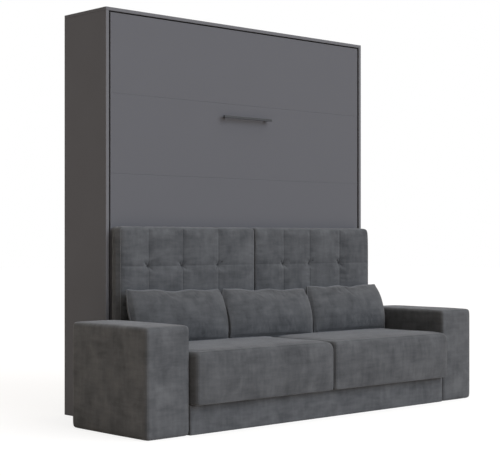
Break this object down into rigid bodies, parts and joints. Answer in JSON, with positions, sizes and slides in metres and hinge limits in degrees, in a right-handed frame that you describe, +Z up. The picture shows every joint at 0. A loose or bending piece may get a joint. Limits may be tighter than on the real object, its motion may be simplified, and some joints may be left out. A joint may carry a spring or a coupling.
{
  "type": "wall bed with sofa",
  "caption": "Vertical wall bed in a shallow cabinet that folds down over the base of a sofa with armrests, tufted back cushions, seat cushions and loose pillows.",
  "frame": {"origin": "middle of the footprint, at floor level", "axes": "+Z up, X along the cabinet and sofa width, the front of the sofa faces -Y and the wall is at +Y"},
  "size_m": [2.464, 1.0799, 2.175],
  "materials": {
    "graphite_board": "matte",
    "grey_velvet": "matte",
    "black_steel": "satin",
    "frame_steel": "satin",
    "bright_steel": "satin",
    "strut_black": "satin",
    "slat_wood": "matte",
    "mattress_ticking": "matte",
    "strap_webbing": "matte"
  },
  "bodies": {
    "cabinet": {"cabinet_side_left": "graphite_board", "cabinet_side_right": "graphite_board", "cabinet_top": "graphite_board", "cabinet_plinth": "graphite_board", "rear_rail_bottom": "graphite_board", "rear_rail_middle": "graphite_board", "rear_rail_top": "graphite_board", "wall_bracket_left": "bright_steel", "wall_bracket_right": "bright_steel", "pivot_plate_left": "frame_steel", "pivot_plate_right": "frame_steel", "pivot_pin_left": "bright_steel", "pivot_pin_right": "bright_steel", "strut_pin_left": "bright_steel", "strut_pin_right": "bright_steel", "armrest_left": "grey_velvet", "armrest_right": "grey_velvet", "sofa_base_front": "grey_velvet", "sofa_base_back": "grey_velvet", "sofa_base_side_left": "grey_velvet", "sofa_base_side_right": "grey_velvet", "sofa_base_deck": "grey_velvet", "sofa_tie_left": "bright_steel", "sofa_tie_right": "bright_steel"},
    "bed": {"front_board_1": "graphite_board", "front_board_2": "graphite_board", "front_board_3": "graphite_board", "front_board_4": "graphite_board", "front_board_5": "graphite_board", "handle_bar": "black_steel", "handle_post_left": "black_steel", "handle_post_right": "black_steel", "bed_rail_left": "frame_steel", "bed_rail_right": "frame_steel", "bed_tube_head": "frame_steel", "bed_tube_foot": "frame_steel", "bed_centre_beam": "frame_steel", "bed_plate_left": "frame_steel", "bed_plate_right": "frame_steel", "slat_frame": "slat_wood", "mattress": "mattress_ticking", "mattress_strap_lower": "strap_webbing", "mattress_strap_upper": "strap_webbing", "back_cushion_left": "grey_velvet", "back_cushion_right": "grey_velvet"},
    "legs": {"leg_left": "black_steel", "leg_right": "black_steel", "leg_shaft": "frame_steel"},
    "strut_cylinder_left_body": {"strut_cylinder_left": "strut_black"},
    "strut_rod_left_body": {"strut_rod_left": "bright_steel"},
    "strut_cylinder_right_body": {"strut_cylinder_right": "strut_black"},
    "strut_rod_right_body": {"strut_rod_right": "bright_steel"},
    "seat_cushion_left_body": {"seat_cushion_left": "grey_velvet"},
    "seat_cushion_right_body": {"seat_cushion_right": "grey_velvet"},
    "pillow_1_body": {"pillow_1": "grey_velvet"},
    "pillow_2_body": {"pillow_2": "grey_velvet"},
    "pillow_3_body": {"pillow_3": "grey_velvet"}
  },
  "joints": [
    {"name": "bed_fold", "type": "hinge", "parent": "cabinet", "child": "bed", "pos_m": [0, 0.2013, 0.39], "axis": [1, 0, 0], "range_deg": [0, 90]},
    {"name": "leg_swing", "type": "hinge", "parent": "bed", "child": "legs", "pos_m": [0, 0.2013, 2.06], "axis": [1, 0, 0], "range_deg": [-90, 0]},
    {"name": "strut_swing_left", "type": "hinge", "parent": "cabinet", "child": "strut_cylinder_left_body", "pos_m": [-0.936, 0.2897, 0.6958], "axis": [1, 0, 0], "range_deg": [0, 17.12]},
    {"name": "strut_stroke_left", "type": "slide", "parent": "strut_cylinder_left_body", "child": "strut_rod_left_body", "axis": [0, -0.1586, -0.9873], "range_m": [-0.1502, 0]},
    {"name": "strut_swing_right", "type": "hinge", "parent": "cabinet", "child": "strut_cylinder_right_body", "pos_m": [0.936, 0.2897, 0.6958], "axis": [1, 0, 0], "range_deg": [0, 17.12]},
    {"name": "strut_stroke_right", "type": "slide", "parent": "strut_cylinder_right_body", "child": "strut_rod_right_body", "axis": [0, -0.1586, -0.9873], "range_m": [-0.1502, 0]},
    {"name": "seat_cushion_left_lift_off", "type": "slide", "parent": "cabinet", "child": "seat_cushion_left_body", "axis": [0, -1, 0], "range_m": [0, 1.9002]},
    {"name": "seat_cushion_right_lift_off", "type": "slide", "parent": "cabinet", "child": "seat_cushion_right_body", "axis": [0, -1, 0], "range_m": [0, 1.9002]},
    {"name": "pillow_1_lift_off", "type": "slide", "parent": "cabinet", "child": "pillow_1_body", "axis": [0, -1, 0], "range_m": [0, 1.9002]},
    {"name": "pillow_2_lift_off", "type": "slide", "parent": "cabinet", "child": "pillow_2_body", "axis": [0, -1, 0], "range_m": [0, 1.9002]},
    {"name": "pillow_3_lift_off", "type": "slide", "parent": "cabinet", "child": "pillow_3_body", "axis": [0, -1, 0], "range_m": [0, 1.9002]}
  ],
  "couplings": [
    {"joint": "leg_swing", "follows": "bed_fold", "ratio": -1},
    {"joint": "strut_swing_left", "follows": "bed_fold", "ratio": 0.19015},
    {"joint": "strut_stroke_left", "follows": "bed_fold", "m_per_rad": -0.095529},
    {"joint": "strut_swing_right", "follows": "bed_fold", "ratio": 0.19015},
    {"joint": "strut_stroke_right", "follows": "bed_fold", "m_per_rad": -0.095529},
    {"joint": "seat_cushion_left_lift_off", "follows": "bed_fold", "m_per_rad": 1.2096},
    {"joint": "seat_cushion_right_lift_off", "follows": "bed_fold", "m_per_rad": 1.2096},
    {"joint": "pillow_1_lift_off", "follows": "bed_fold", "m_per_rad": 1.2096},
    {"joint": "pillow_2_lift_off", "follows": "bed_fold", "m_per_rad": 1.2096},
    {"joint": "pillow_3_lift_off", "follows": "bed_fold", "m_per_rad": 1.2096}
  ]
}
